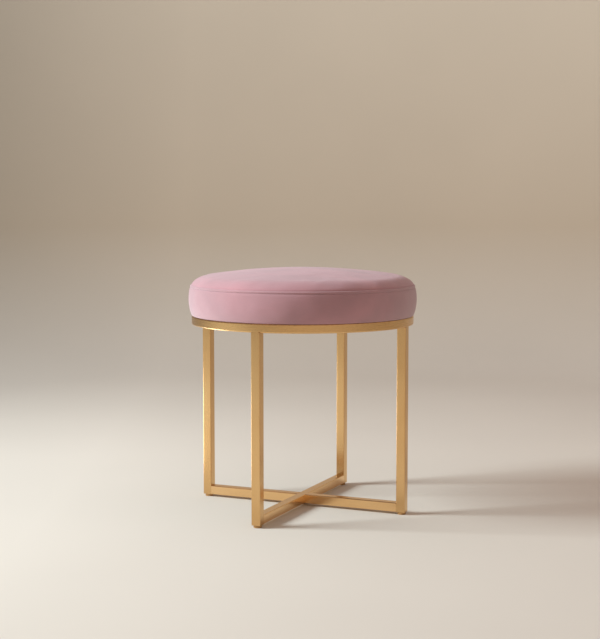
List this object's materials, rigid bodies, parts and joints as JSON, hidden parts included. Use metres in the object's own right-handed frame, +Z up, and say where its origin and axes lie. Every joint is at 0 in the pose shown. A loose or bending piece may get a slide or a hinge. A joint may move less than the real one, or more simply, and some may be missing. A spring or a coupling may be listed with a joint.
{
  "type": "vanity stool",
  "caption": "Round vanity stool with a crowned velvet cushion bolted on a gold tube frame of straight legs, crossed bars and levelling pads.",
  "frame": {"origin": "on the floor, under the middle of the seat", "axes": "+Z up, +X towards the right leg and -Y towards the front leg as the picture names them; the continuous cross bar runs along Y"},
  "size_m": [0.3999, 0.4, 0.422],
  "materials": {
    "gold_frame": "satin brass-coloured plating on steel tube",
    "velvet": "short-pile dusty pink velvet",
    "wadding": "soft white polyester",
    "seat_foam": "open-cell polyurethane foam",
    "plywood": "raw plywood",
    "dust_cloth": "black non-woven cloth",
    "zinc_fasteners": "zinc plated",
    "black_nylon": "moulded",
    "bronze_nylon": "moulded, bronze coloured"
  },
  "bodies": {
    "frame": {"cover_side_band": "velvet", "cover_staples": "zinc_fasteners", "cover_top_panel": "velvet", "cover_welt": "velvet", "cross_bar_left": "gold_frame", "cross_bar_right": "gold_frame", "cross_bar_through": "gold_frame", "dust_cover": "dust_cloth", "dust_cover_staples": "zinc_fasteners", "foam_core": "seat_foam", "leg_front": "gold_frame", "leg_insert_front": "black_nylon", "leg_insert_left": "black_nylon", "leg_insert_rear": "black_nylon", "leg_insert_right": "black_nylon", "leg_left": "gold_frame", "leg_rear": "gold_frame", "leg_right": "gold_frame", "seat_board": "plywood", "seat_lug_front": "gold_frame", "seat_lug_left": "gold_frame", "seat_lug_rear": "gold_frame", "seat_lug_right": "gold_frame", "seat_ring": "gold_frame", "seat_screws": "zinc_fasteners", "seat_washers": "zinc_fasteners", "tee_nuts": "zinc_fasteners", "wadding": "wadding"},
    "glide_front": {"foot_pad_front": "bronze_nylon", "levelling_stem_front": "zinc_fasteners"},
    "glide_rear": {"foot_pad_rear": "bronze_nylon", "levelling_stem_rear": "zinc_fasteners"},
    "glide_left": {"foot_pad_left": "bronze_nylon", "levelling_stem_left": "zinc_fasteners"},
    "glide_right": {"foot_pad_right": "bronze_nylon", "levelling_stem_right": "zinc_fasteners"}
  },
  "joints": [
    {"name": "level_front", "type": "slide", "parent": "frame", "child": "glide_front", "axis": [0, 0, -1], "range_m": [0, 0.008]},
    {"name": "level_rear", "type": "slide", "parent": "frame", "child": "glide_rear", "axis": [0, 0, -1], "range_m": [0, 0.008]},
    {"name": "level_left", "type": "slide", "parent": "frame", "child": "glide_left", "axis": [0, 0, -1], "range_m": [0, 0.008]},
    {"name": "level_right", "type": "slide", "parent": "frame", "child": "glide_right", "axis": [0, 0, -1], "range_m": [0, 0.008]}
  ]
}
